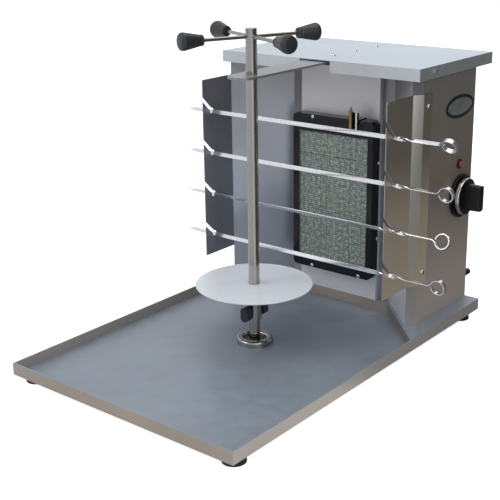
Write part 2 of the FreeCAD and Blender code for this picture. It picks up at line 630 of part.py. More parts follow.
def loop_path(start, centre):
    """From the axis through a bend to a round loop whose centre is on the axis, in the XY plane."""
    loop, bend = value_of("(loop_wide - blade_gauge)/2"), value_of("loop_bend")
    bend_x = centre - math.sqrt((loop + bend) ** 2 - bend ** 2)
    meet = math.atan2(bend, centre - bend_x)

    def on_bend(angle):
        return Vector(bend_x + bend * math.cos(angle), bend * (math.sin(angle) - 1), 0)

    def on_loop(angle):
        return Vector(centre + loop * math.cos(angle), loop * math.sin(angle), 0)

    top = math.pi / 2
    first, last = math.pi + meet, math.pi + meet + math.radians(value_of("loop_sweep"))
    return Part.Wire([Part.LineSegment(Vector(start, 0, 0), on_bend(top)).toShape(),
                      Part.Arc(on_bend(top), on_bend((top + meet) / 2), on_bend(meet)).toShape(),
                      Part.Arc(on_loop(first), on_loop((first + last) / 2), on_loop(last)).toShape()])


def make_skewers():
    tip, end = value_of("skewer_shift - skewer_length/2"), value_of("skewer_shift + skewer_length/2")
    flat_start, flat_end = tip + value_of("point_length"), value_of("twist_start")
    half = value_of("blade_wide/2")
    twist_end = value_of("twist_start + twist_length")
    # each blade's roll in its slots, its hand made twist and how far it is pushed in, as photographed
    for k, (roll, twist, shift) in enumerate(((0, 278, -8), (32, 396, -3), (0, 282, 0), (0, 305, 2))):
        steps = round(twist / value_of("twist_step"))
        spots = [Vector(tip, 0, 0), Vector(flat_start, 0, -half), Vector(flat_end, 0, -half),
                 Vector(flat_end, 0, half), Vector(flat_start, 0, half)]
        face = Part.Face(Part.makePolygon(spots + spots[:1]))
        face.translate(Vector(0, -value_of("blade_gauge/2"), 0))
        blade = face.extrude(Vector(0, value_of("blade_gauge"), 0))
        sections = [blade_section(flat_end + (twist_end - flat_end) * i / steps, twist * i / steps)
                    for i in range(steps + 1)]
        twisted = Part.makeLoft(sections, True, False)
        path = loop_path(twist_end, end - value_of("loop_wide/2"))
        eye = path.makePipeShell([blade_section(twist_end, 0)], True, True)
        eye.rotate(Vector(), Vector(1, 0, 0), twist)
        obj = doc.addObject("Part::Feature", "skewer")
        obj.Shape = blade.fuse([twisted, eye])
        level = "slot_first + %d*slot_pitch - %s" % (k, BLADE_DROP)
        place(obj, (repr(shift), "slot_y", level), Rotation(Vector(1, 0, 0), roll))
        node("skewer_%d" % (k + 1), obj)


def make_burner():
    body = new_body("frame")
    corners = [("-" + FRAME_HALF, "frame_bottom"), (FRAME_HALF, "frame_bottom"), (FRAME_HALF, "frame_top"),
               ("-" + FRAME_HALF, "frame_top")]
    shape = pad(body, outline(body, "XZ_Plane", corners, "-" + PLATE_FRONT), "frame_deep")
    rounded(body, shape, "frame_round", lambda edge: edge.BoundBox.YLength > 5)
    skin = FRAME_FRONT + " + frame_gauge"
    hollow = block(("frame_gauge - " + FRAME_HALF, skin, "frame_bottom + frame_gauge"),
                   (FRAME_HALF + " - frame_gauge", PLATE_FRONT, "frame_top - frame_gauge"))
    window = block(("-" + WINDOW_HALF, FRAME_FRONT, WINDOW_BOTTOM), (WINDOW_HALF, skin, WINDOW_TOP))
    ribs = []
    for k in (-1, 0, 1):
        mid = "(frame_top - band_high/2 + %d*louvre_pitch)" % k
        proud = FRAME_FRONT + " - louvre_proud"
        ribs.append(block(("louvre_inset - " + WINDOW_HALF, proud, mid + " - louvre_high/2"),
                          (WINDOW_HALF + " - louvre_inset", skin, mid + " + louvre_high/2")))
    reach = "frame_deep + panel_gauge + burner_screw/2"
    screws = [screw("burner_screw", reach, spot, "y") for spot in front_screw_spots()]
    holes = [cylinder("burner_screw/2", "frame_deep", spot, "y") for spot in front_screw_spots()]
    sides = []
    for sign, way in (("", "-x"), ("-", "x")):
        for level in ("(frame_top - side_screw_below)", "(frame_bottom + side_screw_below)"):
            spot = (sign + FRAME_HALF, FRAME_FRONT + " + side_screw_set", level)
            screws.append(screw("burner_screw", "frame_side + body_wall", spot, way))
            sides.append(cylinder("burner_screw/2", "frame_side + body_wall", spot, way))
    node("burner_frame", cut(fuse(cut(body, hollow, window), *ribs), *(holes + sides)))
    node("burner_screws", group(screws))
    # mixing chamber behind the tiles, open to the front
    case = block(("-body_half", TILE_BACK, BODY_LOW), ("body_half", BODY_REAR, BODY_HIGH))
    room = block(("body_wall - body_half", TILE_BACK, BODY_LOW + " + body_wall"),
                 ("body_half - body_wall", BODY_REAR + " - body_wall", BODY_HIGH + " - body_wall"))
    mouth = ("body_half - 2*body_wall", MIX_Y, "mixer_height")
    throat = cylinder("mixer_wide/2 - mixer_wall", "3*body_wall", mouth, "x")
    node("burner_chamber", cut(case, room, throat, *sides))
    tiles = []
    for sign in ("", "-"):
        for row in range(3):
            low = BODY_LOW + " + %d*tile_pitch" % row
            top = BODY_LOW + " + %d*tile_pitch - tile_gap" % (row + 1) if row < 2 else BODY_HIGH
            inner, outer = "%s(tile_gap/2)" % sign, "%s(body_half)" % sign
            left, right = (inner, outer) if sign == "" else (outer, inner)
            tiles.append(block((left, TILE_FRONT, low), (right, TILE_BACK, top)))
    node("ceramic_tiles", group(tiles))
    make_mesh()


def make_mesh():
    front = FRAME_FRONT + " + frame_gauge"
    half = WINDOW_HALF + " + mesh_lap"
    plate = block(("-(%s)" % half, front, WINDOW_BOTTOM + " - mesh_lap"),
                  (half, front + " + mesh_wire", WINDOW_TOP + " + mesh_lap"))
    low, left = value_of(WINDOW_BOTTOM), -value_of(WINDOW_HALF)
    wide, tall = -2 * left, value_of(WINDOW_TOP) - low
    wire, pitch = value_of("mesh_wire"), value_of("mesh_pitch")
    columns, rows = int(wide // pitch), int(tall // pitch)
    cells = []
    for i in range(columns):
        for k in range(rows):
            corner = Vector(left + wide * i / columns + wire / 2, value_of(front) - wire,
                            low + tall * k / rows + wire / 2)
            cells.append(Part.makeBox(wide / columns - wire, 3 * wire, tall / rows - wire, corner))
    gaps = doc.addObject("Part::Feature", "mesh_gaps")
    gaps.Shape = Part.makeCompound(cells)
    node("guard_mesh", cut(plate, gaps))


def make_pilot():
    z = "frame_top"
    tube = cylinder("pilot_wide/2", "pilot_above + pilot_below", ("pilot_x", PILOT_Y, z + " - pilot_below"))
    tip = bind(doc.addObject("Part::Cone", "tip"), Radius1="pilot_wide/2", Radius2="pilot_wide/4",
               Height="pilot_wide")
    place(tip, ("pilot_x", PILOT_Y, z + " + pilot_above"))
    node("pilot_burner", fuse(tube, tip))
    near = "(%s - louvre_proud)" % FRAME_FRONT
    end = "(probe_x + probe_wide)"
    low = z + " + rest_gap"
    bar = block(("pilot_x - pilot_wide/2", near, low),
                (end, near + " + bracket_gauge", z + " + pilot_above - bracket_drop"))
    leg = block((end + " - 3*probe_wide", near, low), (end, PLATE_FRONT, low + " + bracket_gauge"))
    node("pilot_bracket", fuse(bar, leg))
    probe = cylinder("probe_wide/2", "pilot_above + probe_ratio*pilot_below",
                     ("probe_x", near + " - probe_wide/2", z + " - probe_ratio*pilot_below"))
    node("thermocouple", probe)


def make_gas_way():
    spot_x = "(wall_x - panel_gauge)"
    case = cylinder("valve_wide/2", "valve_length", (spot_x, "valve_y", "valve_z"), "-x")
    socket = cylinder("stem_wide/2 + run_gap", "stem_socket", (spot_x, "valve_y", "valve_z"), "-x")
    port = cylinder("pipe_wide/2", "valve_wide/2", (spot_x + " - valve_length/2", "valve_y", "valve_z"), "-z")
    side = cylinder("pipe_wide/2", "valve_wide/2", (spot_x + " - valve_length/2", "valve_y", "valve_z"), "-y")
    node("gas_valve", cut(case, socket, port, side))
    stem_start = (spot_x + " - stem_socket + rest_gap", "valve_y", "valve_z")
    stem = cylinder("stem_wide/2", "stem_socket - rest_gap + stem_reach", stem_start, "x")
    node("valve_stem", stem)
    # mixing tube on the chamber's right side, fed by the injector
    spot = ("body_half", MIX_Y, "mixer_height")
    node("mixing_tube", cut(cylinder("mixer_wide/2", "mixer_length", spot, "x"),
                            cylinder("mixer_wide/2 - mixer_wall", "mixer_length", spot, "x")))
    far = "(body_half + mixer_length - injector_inset)"
    nut = prism(6, "injector_wide*nut_high_ratio", "injector_length", (far, MIX_Y, "mixer_height"), "x")
    arm = "(mixer_wide/2 - mixer_wall - 2*rest_gap)"
    spider = block((far, "%s - %s" % (MIX_Y, arm), "mixer_height - spider_wide/2"),
                   (far + " + spider_wide", "%s + %s" % (MIX_Y, arm), "mixer_height + spider_wide/2"))
    bore = cylinder("injector_bore/2", "injector_length", (far, MIX_Y, "mixer_height"), "x")
    node("injector", cut(fuse(nut, spider), bore))
    # feed pipe from the valve's front port down to the injector
    pipe_x = value_of(spot_x + " - valve_length/2")
    start = Vector(pipe_x, value_of("valve_y - valve_wide/2"), value_of("valve_z"))
    goal = Vector(value_of(far + " + injector_length"), value_of(MIX_Y), value_of("mixer_height"))
    route = [start, Vector(start.x, goal.y, start.z), Vector(start.x, goal.y, goal.z), goal]
    node("feed_pipe", bent_tube("feed", route, value_of("feed_bend")))
    base = Vector(pipe_x, value_of("valve_y"), value_of("valve_z - valve_wide/2"))
    outlet = Vector(pipe_x, value_of("wall_rear - panel_gauge"), value_of("inlet_z"))
    route = [base, Vector(pipe_x, base.y, outlet.z), outlet]
    node("supply_pipe", bent_tube("supply", route, value_of("supply_bend")))
    spot = (repr(pipe_x), "wall_rear", "inlet_z")
    collar = prism(6, "inlet_wide*hex_ratio", "inlet_nut", spot, "y")
    spigot = cylinder("inlet_wide/2", "inlet_length", spot, "y")
    tail = cylinder("tail_wide/2", "tail_length", spot, "y")
    hollow = cylinder("inlet_bore/2", "tail_length", spot, "y")
    node("gas_inlet", cut(fuse(collar, spigot, tail), hollow))
    gap = cylinder("pipe_wide/2", "panel_gauge", (repr(pipe_x), "wall_rear - panel_gauge", "inlet_z"), "y")
    node("rear_cover", cut(nodes["rear_cover"], gap))


def bent_tube(name, route, bend):
    """A round tube along straight runs joined by tangent arcs."""
    edges = []
    last = route[0]
    for before, corner, after in zip(route, route[1:], route[2:]):
        into = (corner - before).normalize()
        out = (after - corner).normalize()
        first, second = corner - into * bend, corner + out * bend
        middle = corner + (out - into) * (bend * (1 - math.sqrt(0.5)))
        edges.append(Part.LineSegment(last, first).toShape())
        edges.append(Part.Arc(first, middle, second).toShape())
        last = second
    edges.append(Part.LineSegment(last, route[-1]).toShape())
    path = Part.Wire(edges)
    way = (route[1] - route[0]).normalize()
    outer, inner = [path.makePipeShell([Part.Wire(Part.makeCircle(value_of(wide + "/2"), route[0], way))],
                                       True, True) for wide in ("pipe_wide", "pipe_bore")]
    obj = doc.addObject("Part::Feature", name)
    obj.Shape = outer.cut(inner)
    return obj


def make_controls():
    spot = ("wall_x", "valve_y", "valve_z")
    bezel = cylinder("bezel_wide/2", "bezel_deep", spot, "x")
    hole = cylinder("stem_wide/2 + stem_gap", "bezel_deep", spot, "x")
    node("knob_bezel", cut(bezel, hole))
    start = "(wall_x + bezel_deep + knob_push + rest_gap)"
    at = (start, "valve_y", "valve_z")
    skirt = cylinder("skirt_wide/2 - trim_deep", "skirt_deep", at, "x")
    grip = doc.addObject("Part::MultiCommon", "grip")
    grip.Shapes = [cylinder("knob_wide/2", "knob_deep", at, "x"),
                   block((start, "valve_y - knob_bar/2", "valve_z - knob_wide/2"),
                         (start + " + knob_deep", "valve_y + knob_bar/2", "valve_z + knob_wide/2"))]
    bite = "(wall_x - panel_gauge + stem_reach + rest_gap + knob_push - %s)" % start
    bore = cylinder("stem_wide/2 + run_gap", bite, (start, "valve_y", "valve_z"), "x")
    node("control_knob", cut(fuse(skirt, grip), bore))
    ring = cylinder("skirt_wide/2", "skirt_deep", (start, "valve_y", "valve_z"), "x")
    inside = cylinder("skirt_wide/2 - trim_deep", "skirt_deep", (start, "valve_y", "valve_z"), "x")
    node("knob_trim", cut(ring, inside))
    oval = doc.addObject("Part::Ellipse", "oval")
    bind(oval, MajorRadius="badge_wide/2", MinorRadius="badge_high/2")
    oval.Placement = Placement(Vector(value_of("wall_x"), value_of("badge_y"), value_of("badge_z")),
                               Rotation(Vector(0, 1, 0), Vector(0, 0, 1), Vector(1, 0, 0)))
    raised = doc.addObject("Part::Extrusion", "raised")
    raised.Base = oval
    raised.Dir = Vector(1, 0, 0)
    raised.DirMode = "Custom"
    raised.Solid = True
    bind(raised, LengthFwd="badge_gauge")
    node("badge_plate", raised)
    spark = ("wall_x", "spark_y", "spark_z")
    rim = cylinder("spark_ring/2", "spark_ring_deep", spark, "x")
    barrel = cylinder("spark_wide/2 + spark_wall", "spark_body", spark, "-x")
    room = cylinder("spark_wide/2 + run_gap", "spark_body - spark_floor",
                    ("wall_x + spark_ring_deep", "spark_y", "spark_z"), "-x")
    node("igniter_body", cut(fuse(rim, barrel), room))
    deep = "(wall_x + spark_ring_deep - spark_body + spark_floor + spark_travel + rest_gap)"
    button = cylinder("spark_wide/2", "wall_x + spark_proud - %s" % deep, (deep, "spark_y", "spark_z"), "x")
    node("igniter_button", button)


def check_and_export():
    doc.recompute()
    for obj in doc.Objects:
        if "Invalid" in obj.State or "Error" in obj.State:
            raise RuntimeError("failed: %s %s" % (obj.Label, obj.State))
    os.makedirs("parts", exist_ok=True)
    for label, obj in sorted(nodes.items()):
        if obj.Shape.isNull() or not obj.Shape.isValid():
            raise RuntimeError("bad shape: " + label)
        obj.Shape.exportStep("parts/%s.step" % label)
        print("%-18s %2d solids %9.1f mm3" % (label, len(obj.Shape.Solids), obj.Shape.Volume))
    print(len(nodes), "nodes")


make_tray()
make_feet()
make_cup()
make_spindle()
make_grips()
make_disc()
make_arm()
make_walls(make_hood())
make_burner_plate()
make_rear_cover()
make_wings()
make_skewers()
make_burner()
make_pilot()
make_gas_way()
make_controls()
check_and_export()
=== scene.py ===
# Gas doner kebab grill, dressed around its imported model.
import math
import random

import bmesh
import bpy
from mathutils import Matrix, Vector


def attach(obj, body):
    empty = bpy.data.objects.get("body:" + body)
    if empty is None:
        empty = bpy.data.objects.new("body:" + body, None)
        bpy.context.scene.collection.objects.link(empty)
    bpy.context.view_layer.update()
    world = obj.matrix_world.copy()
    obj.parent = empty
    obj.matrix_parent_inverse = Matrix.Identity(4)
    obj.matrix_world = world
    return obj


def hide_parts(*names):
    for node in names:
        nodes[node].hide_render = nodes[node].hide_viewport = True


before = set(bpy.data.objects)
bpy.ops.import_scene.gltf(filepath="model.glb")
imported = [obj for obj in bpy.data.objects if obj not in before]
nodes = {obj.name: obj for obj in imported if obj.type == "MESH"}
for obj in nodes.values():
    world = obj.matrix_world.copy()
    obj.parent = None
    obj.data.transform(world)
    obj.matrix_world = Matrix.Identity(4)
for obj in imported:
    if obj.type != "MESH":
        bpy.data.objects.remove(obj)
bpy.context.scene.view_settings.view_transform = "Standard"
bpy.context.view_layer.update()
mm = 0.001
print("frame loaded:", len(nodes), "nodes")

# camera and studio

cameraSetup = {
    "target": (0.0, -0.0298, 0.2464),  # the point the camera looks at, metres
    "distance": 1.8309,
    "turn": 39.27,  # degrees from straight in front, towards the gas knob's side
    "rise": 17.32,
    "roll": -0.775,
    "lens": 73.81,  # mm on a 36 mm wide sensor
    "shiftY": -0.0495,
}


def makeCamera():
    turn = math.radians(cameraSetup["turn"])
    rise = math.radians(cameraSetup["rise"])
    roll = math.radians(cameraSetup["roll"])
    back = Vector((math.sin(turn) * math.cos(rise), -math.cos(turn) * math.cos(rise), math.sin(rise)))
    across = Vector((math.cos(turn), math.sin(turn), 0))
    up = back.cross(across)
    right = across * math.cos(roll) + up * math.sin(roll)
    above = up * math.cos(roll) - across * math.sin(roll)
    data = bpy.data.cameras.new("camera")
    data.lens = cameraSetup["lens"]
    data.shift_y = cameraSetup["shiftY"]
    camera = bpy.data.objects.new("camera", data)
    bpy.context.scene.collection.objects.link(camera)
    place = Matrix((right, above, back)).transposed().to_4x4()
    place.translation = Vector(cameraSetup["target"]) + back * cameraSetup["distance"]
    camera.matrix_world = place
    bpy.context.scene.camera = camera


def linear(hexColour):
    # sRGB hex to the linear value that the shader wants
    values = [int(hexColour[i:i + 2], 16) / 255 for i in (1, 3, 5)]
    return tuple(v / 12.92 if v <= 0.04045 else ((v + 0.055) / 1.055) ** 2.4 for v in values) + (1.0,)


def shadeOf(hexColour, factor):
    return tuple(min(1, v * factor) for v in linear(hexColour)[:3]) + (1.0,)


def addNode(tree, kind, links=None, stops=None, **settings):
    # one node; settings name its own properties or its inputs, links join an input to another
    # node's output, and stops are the places and colours of a colour ramp
    node = tree.nodes.new(kind)
    for name, value in settings.items():
        if hasattr(node, name):
            setattr(node, name, value)
        else:
            node.inputs[name.replace("_", " ")].default_value = value
    for name, (source, output) in (links or {}).items():
        socket = node.inputs[name] if isinstance(name, int) else node.inputs[name.replace("_", " ")]
        tree.links.new(source.outputs[output], socket)
    if stops:
        elements = node.color_ramp.elements
        while len(elements) < len(stops):
            elements.new(0.5)
        for element, (position, colour) in zip(elements, stops):
            element.position = position
            element.color = linear(colour) if isinstance(colour, str) else colour
    return node


def newMaterial(name):
    material = bpy.data.materials.new(name)
    material.use_nodes = True
    tree = material.node_tree
    shader = tree.nodes["Principled BSDF"]
    coords = addNode(tree, "ShaderNodeTexCoord")
    return material, tree, shader, coords


studio = {
    "world": 0.72, "floor": "#f4f4f4", "glow": 0.8, "key": 21, "fill": 6, "top": 9,
    "eye": 0.25,  # metres above the floor from which bright metal sees it
    "turn": 39.27,  # degrees that the surroundings are turned from the grill's front
    # their shades as bright metal mirrors them, from left to right
    "around": [(0.0, "#e2e4e8"), (0.35, "#dcdee2"), (0.55, "#f2f3f5"), (0.72, "#ffffff"),
               (0.82, "#7a7a7a"), (0.9, "#565554"), (1.0, "#605e5c")],
}


def surroundings(tree, source, output):
    # what polished metal mirrors: pale to the left, brightest to the near right, dark to the far right
    turn = math.radians(studio["turn"])
    side = addNode(tree, "ShaderNodeVectorMath", {0: (source, output)}, operation="DOT_PRODUCT")
    side.inputs[1].default_value = (math.cos(turn), math.sin(turn), 0)
    span = addNode(tree, "ShaderNodeMapRange", {"Value": (side, "Value")}, From_Min=-1, From_Max=1)
    return addNode(tree, "ShaderNodeValToRGB", {"Fac": (span, 0)}, studio["around"])


def makeStudio():
    world = bpy.data.worlds.new("studio")
    bpy.context.scene.world = world
    world.use_nodes = True
    tree = world.node_tree
    tree.nodes.clear()
    path = addNode(tree, "ShaderNodeLightPath")
    way = addNode(tree, "ShaderNodeTexCoord")
    light = addNode(tree, "ShaderNodeBackground", Color=(0.95, 0.97, 1, 1), Strength=studio["world"])
    white = addNode(tree, "ShaderNodeBackground", Color=(1, 1, 1, 1), Strength=1.0)
    shades = surroundings(tree, way, "Generated")
    around = addNode(tree, "ShaderNodeBackground", {"Color": (shades, 0)}, Strength=1.0)
    mirrored = addNode(tree, "ShaderNodeMixShader",
                       {0: (path, "Is Glossy Ray"), 1: (light, 0), 2: (around, 0)})
    mix = addNode(tree, "ShaderNodeMixShader",
                  {0: (path, "Is Camera Ray"), 1: (mirrored, 0), 2: (white, 0)})
    addNode(tree, "ShaderNodeOutputWorld", {"Surface": (mix, 0)})
    for name, energy, size, place, aim in (
        ("key", studio["key"], 1.6, (-1.6, -2.2, 2.4), (0, 0, 0.25)),
        ("fill", studio["fill"], 1.8, (2.4, -1.2, 1.4), (0, 0, 0.25)),
        ("top", studio["top"], 1.6, (0.2, 0.3, 2.6), (0, 0, 0.2)),
    ):
        data = bpy.data.lights.new(name, "AREA")
        data.energy = energy
        data.size = size
        lamp = bpy.data.objects.new(name, data)
        lamp.location = place
        lamp.rotation_euler = (Vector(aim) - Vector(place)).to_track_quat("-Z", "Y").to_euler()
        bpy.context.scene.collection.objects.link(lamp)
    mesh = bmesh.new()
    bmesh.ops.create_grid(mesh, x_segments=1, y_segments=1, size=6)
    floor = meshObject("floor", mesh)
    material, tree, shader, coords = newMaterial("pale studio floor")
    tree.nodes.remove(shader)
    path = addNode(tree, "ShaderNodeLightPath")
    below = addNode(tree, "ShaderNodeMapping", {"Vector": (coords, "Object")},
                    Location=(0, 0, -studio["eye"]))
    way = addNode(tree, "ShaderNodeVectorMath", {0: (below, 0)}, operation="NORMALIZE")
    matt = addNode(tree, "ShaderNodeBsdfDiffuse", Color=linear(studio["floor"]))
    glow = addNode(tree, "ShaderNodeEmission", Color=(1, 1, 1, 1), Strength=studio["glow"])
    added = addNode(tree, "ShaderNodeAddShader", {0: (matt, 0), 1: (glow, 0)})
    shades = surroundings(tree, way, 0)
    around = addNode(tree, "ShaderNodeEmission", {"Color": (shades, 0)}, Strength=1.0)
    lift = addNode(tree, "ShaderNodeMixShader",
                   {0: (path, "Is Camera Ray"), 1: (matt, 0), 2: (added, 0)})
    mirrored = addNode(tree, "ShaderNodeMixShader",
                       {0: (path, "Is Glossy Ray"), 1: (lift, 0), 2: (around, 0)})
    tree.links.new(mirrored.outputs[0], tree.nodes["Material Output"].inputs["Surface"])
    floor.data.materials.append(material)


def meshObject(name, mesh):
    data = bpy.data.meshes.new(name)
    mesh.to_mesh(data)
    mesh.free()
    piece = bpy.data.objects.new(name, data)
    bpy.context.scene.collection.objects.link(piece)
    return piece


# materials

# belt grinding leaves lines 25 mm long and about 0.4 mm wide; rolling leaves patches of a hand's size
sheet = {"line": 25.0, "patch": 200.0, "relief": 0.2, "reliefStrength": 0.08}


def perMetre(millimetres):
    # a texture's scale from the real size of its pattern
    return 1000 / millimetres


def sheetSteel(name, around, top, grain=(1, 1, 60), roughness=0.3, metallic=0.55, blotch=0.12,
               along=None, paintedShadeStops=None, allFaces=True):
    # satin 304 stainless sheet, belt ground: a fine directional grain and soft patches, with light and shade
    # painted in: a painted shade for each way that it faces, from the left over the front to the right, a
    # painted shade for faces turned up, and painted light and shade along one axis when along is given
    material, tree, shader, coords = newMaterial(name)
    place = addNode(tree, "ShaderNodeMapping", {"Vector": (coords, "Object")}, Scale=grain)
    streaks = addNode(tree, "ShaderNodeTexNoise", {"Vector": (place, 0)},
                      Scale=perMetre(sheet["line"]), Detail=3.0)
    patches = addNode(tree, "ShaderNodeTexNoise", {"Vector": (coords, "Object")},
                      Scale=perMetre(sheet["patch"]), Detail=2.0)
    # painted light and shade: the normal picks a shade for each side, and the top's shade for faces turned up
    facing = addNode(tree, "ShaderNodeSeparateXYZ", {"Vector": (coords, "Normal")})
    turned = addNode(tree, "ShaderNodeMapRange", {"Value": (facing, "X")}, From_Min=-1, From_Max=1)
    sides = addNode(tree, "ShaderNodeValToRGB", {"Fac": (turned, 0)},
                    list(zip((0.02, 0.15, 0.5, 0.85, 0.98), around)))
    above = addNode(tree, "ShaderNodeMapRange", {"Value": (facing, "Z")}, From_Min=0.3, From_Max=0.9)
    base = addNode(tree, "ShaderNodeMix", {0: (above, 0), 6: (sides, 0)}, data_type="RGBA")
    base.inputs[7].default_value = linear(top)
    colour = base.outputs[2]
    # painted light and shade along one axis, multiplied into the colour; with allFaces off, only on faces
    # turned to the right
    if along:
        spot = addNode(tree, "ShaderNodeSeparateXYZ", {"Vector": (coords, "Object")})
        span = addNode(tree, "ShaderNodeMapRange", {"Value": (spot, along[0])},
                       From_Min=along[1], From_Max=along[2])
        shades = addNode(tree, "ShaderNodeValToRGB", {"Fac": (span, 0)}, paintedShadeStops)
        paintedShadeAlong = addNode(tree, "ShaderNodeMix", {7: (shades, 0)}, data_type="RGBA",
                       blend_type="MULTIPLY")
        paintedShadeAlong.inputs[0].default_value = 1.0
        tree.links.new(colour, paintedShadeAlong.inputs[6])
        if not allFaces:
            right = addNode(tree, "ShaderNodeMapRange", {"Value": (facing, "X")},
                            From_Min=0.75, From_Max=0.95)
            tree.links.new(right.outputs[0], paintedShadeAlong.inputs[0])
        colour = paintedShadeAlong.outputs[2]
    spread = addNode(tree, "ShaderNodeMapRange", {"Value": (patches, 0)}, From_Min=0.3, From_Max=0.7,
                     To_Min=1 - blotch, To_Max=1 + blotch)
    fine = addNode(tree, "ShaderNodeMapRange", {"Value": (streaks, 0)}, From_Min=0.3, From_Max=0.7,
                   To_Min=0.94, To_Max=1.06)
    both = addNode(tree, "ShaderNodeMath", {0: (spread, 0), 1: (fine, 0)}, operation="MULTIPLY")
    scaled = addNode(tree, "ShaderNodeVectorMath", operation="SCALE")
    tree.links.new(colour, scaled.inputs[0])
    tree.links.new(both.outputs[0], scaled.inputs["Scale"])
    tree.links.new(scaled.outputs[0], shader.inputs["Base Color"])
    rough = addNode(tree, "ShaderNodeMapRange", {"Value": (streaks, 0)}, From_Min=0.3, From_Max=0.7,
                    To_Min=roughness - 0.05, To_Max=roughness + 0.06)
    tree.links.new(rough.outputs[0], shader.inputs["Roughness"])
    relief = addNode(tree, "ShaderNodeBump", {"Height": (streaks, 0)},
                     Strength=sheet["reliefStrength"], Distance=sheet["relief"] * mm)
    tree.links.new(relief.outputs[0], shader.inputs["Normal"])
    shader.inputs["Metallic"].default_value = metallic
    return material


def plainMetal(name, colour, roughness, mark=10 / 3, spread=0.06):
    # turned, drawn or plated metal: near even, with faint tool marks of a few millimetres
    material, tree, shader, coords = newMaterial(name)
    marks = addNode(tree, "ShaderNodeTexNoise", {"Vector": (coords, "Object")},
                    Scale=perMetre(mark), Detail=2.0)
    shades = addNode(tree, "ShaderNodeValToRGB", {"Fac": (marks, 0)},
                     [(0.3, shadeOf(colour, 1 - spread)), (0.7, shadeOf(colour, 1 + spread))])
    tree.links.new(shades.outputs[0], shader.inputs["Base Color"])
    rough = addNode(tree, "ShaderNodeMapRange", {"Value": (marks, 0)}, From_Min=0.3, From_Max=0.7,
                    To_Min=max(0.03, roughness - 0.04), To_Max=roughness + 0.04)
    tree.links.new(rough.outputs[0], shader.inputs["Roughness"])
    shader.inputs["Metallic"].default_value = 1.0
    return material


# a mould's spark eroded skin is finer than a pixel, and is drawn 1.1 mm coarse so that it shows
moulding = {"grain": 10 / 9, "patch": 25.0, "relief": 0.3}


def mouldedPlastic(name, colour, roughness=0.35, grain=moulding["grain"], strength=0.06, shine=0.5):
    # moulded phenolic, ABS or rubber: an even colour with a slight skin texture and soft gloss
    material, tree, shader, coords = newMaterial(name)
    skin = addNode(tree, "ShaderNodeTexNoise", {"Vector": (coords, "Object")},
                   Scale=perMetre(grain), Detail=2.0)
    patches = addNode(tree, "ShaderNodeTexNoise", {"Vector": (coords, "Object")},
                      Scale=perMetre(moulding["patch"]))
    shades = addNode(tree, "ShaderNodeValToRGB", {"Fac": (patches, 0)},
                     [(0.35, shadeOf(colour, 0.85)), (0.65, shadeOf(colour, 1.2))])
    tree.links.new(shades.outputs[0], shader.inputs["Base Color"])
    relief = addNode(tree, "ShaderNodeBump", {"Height": (skin, 0)}, Strength=strength,
                     Distance=moulding["relief"] * mm)
    tree.links.new(relief.outputs[0], shader.inputs["Normal"])
    shader.inputs["Roughness"].default_value = roughness
    shader.inputs["IOR"].default_value = 1.5
    shader.inputs["Specular IOR Level"].default_value = shine
    return material


# the real holes are little more than 1 mm wide, too fine for the render, so the grid is coarser
tile = {"hole": 1000 / 238, "grain": 6.25, "seam": 2.0, "seamCore": 0.8}


def tileCeramic():
    # pressed cordierite burner tile: matt grey green, with a pale rim around each hole
    material, tree, shader, coords = newMaterial("cordierite burner tile")
    cells = addNode(tree, "ShaderNodeTexVoronoi", {"Vector": (coords, "Object")},
                    Scale=perMetre(tile["hole"]), Randomness=0.2)
    shades = addNode(tree, "ShaderNodeValToRGB", {"Fac": (cells, "Distance")},
                     [(0.24, "#e6e8d6"), (0.36, "#94a3a2")])
    grains = addNode(tree, "ShaderNodeTexNoise", {"Vector": (coords, "Object")},
                     Scale=perMetre(tile["grain"]), Detail=3.0)
    pale = addNode(tree, "ShaderNodeValToRGB", {"Fac": (grains, 0)},
                   [(0.42, "#bcc0ba"), (0.62, "#ffffff")])
    mix = addNode(tree, "ShaderNodeMix", {6: (shades, 0), 7: (pale, 0)}, data_type="RGBA",
                  blend_type="MULTIPLY")
    mix.inputs[0].default_value = 1.0
    spot = addNode(tree, "ShaderNodeSeparateXYZ", {"Vector": (coords, "Object")})
    across = addNode(tree, "ShaderNodeMath", {0: (spot, "X")}, operation="ABSOLUTE")
    seam = addNode(tree, "ShaderNodeValToRGB", {"Fac": (across, 0)},
                   [(tile["seamCore"] * mm, "#c8cdbf"), (tile["seam"] * mm, "#000000")])
    lines = addNode(tree, "ShaderNodeMix", {6: (mix, 2), 7: (seam, 0)}, data_type="RGBA",
                    blend_type="LIGHTEN")
    lines.inputs[0].default_value = 1.0
    tree.links.new(lines.outputs[2], shader.inputs["Base Color"])
    shader.inputs["Roughness"].default_value = 0.9
    return material


def dress(names, material):
    for name in names:
        mesh = nodes[name].data
        mesh.materials.clear()
        mesh.materials.append(material)


makeCamera()
makeStudio()
print("camera and studio made")

# how many times finer the grinding lines are along X, Y and Z
upright = (60, 60, 1)
foreAndAft = (60, 1, 1)

# one bent and ground 304 sheet, with each piece's own painted light and shade: five painted shades by the way
# it faces, from its left over its front to its right, then a painted shade for its top, and painted light and
# shade along one axis from metre to metre
traySteel = sheetSteel("satin stainless tray", ("#6c6a68", "#8c857e", "#a1968b", "#a8a19b", "#b2aaa3"),
                       "#959da8", roughness=0.42, metallic=0.35, blotch=0.06, along=("Y", -0.38, 0.38),
                       paintedShadeStops=[(0.0, "#ffffff"), (1.0, "#dcdedf")], allFaces=False)
hoodSteel = sheetSteel("satin stainless hood", ("#8a8f92", "#b0b6b8", "#c1c6c9", "#a8adad", "#868a8a"),
                       "#c8d2dc", grain=foreAndAft, roughness=0.36, metallic=0.4, blotch=0.05)
wallSteel = sheetSteel("satin stainless wall", ("#7c7a78", "#8c8a88", "#a4a19e", "#a4a8aa", "#c2b6ac"),
                       "#b8b8b8", grain=upright, roughness=0.34, blotch=0.06, along=("Z", 0.04, 0.52),
                       paintedShadeStops=[(0.0, "#ffffff"), (0.5, "#b0aba5"), (1.0, "#a6b0b4")])
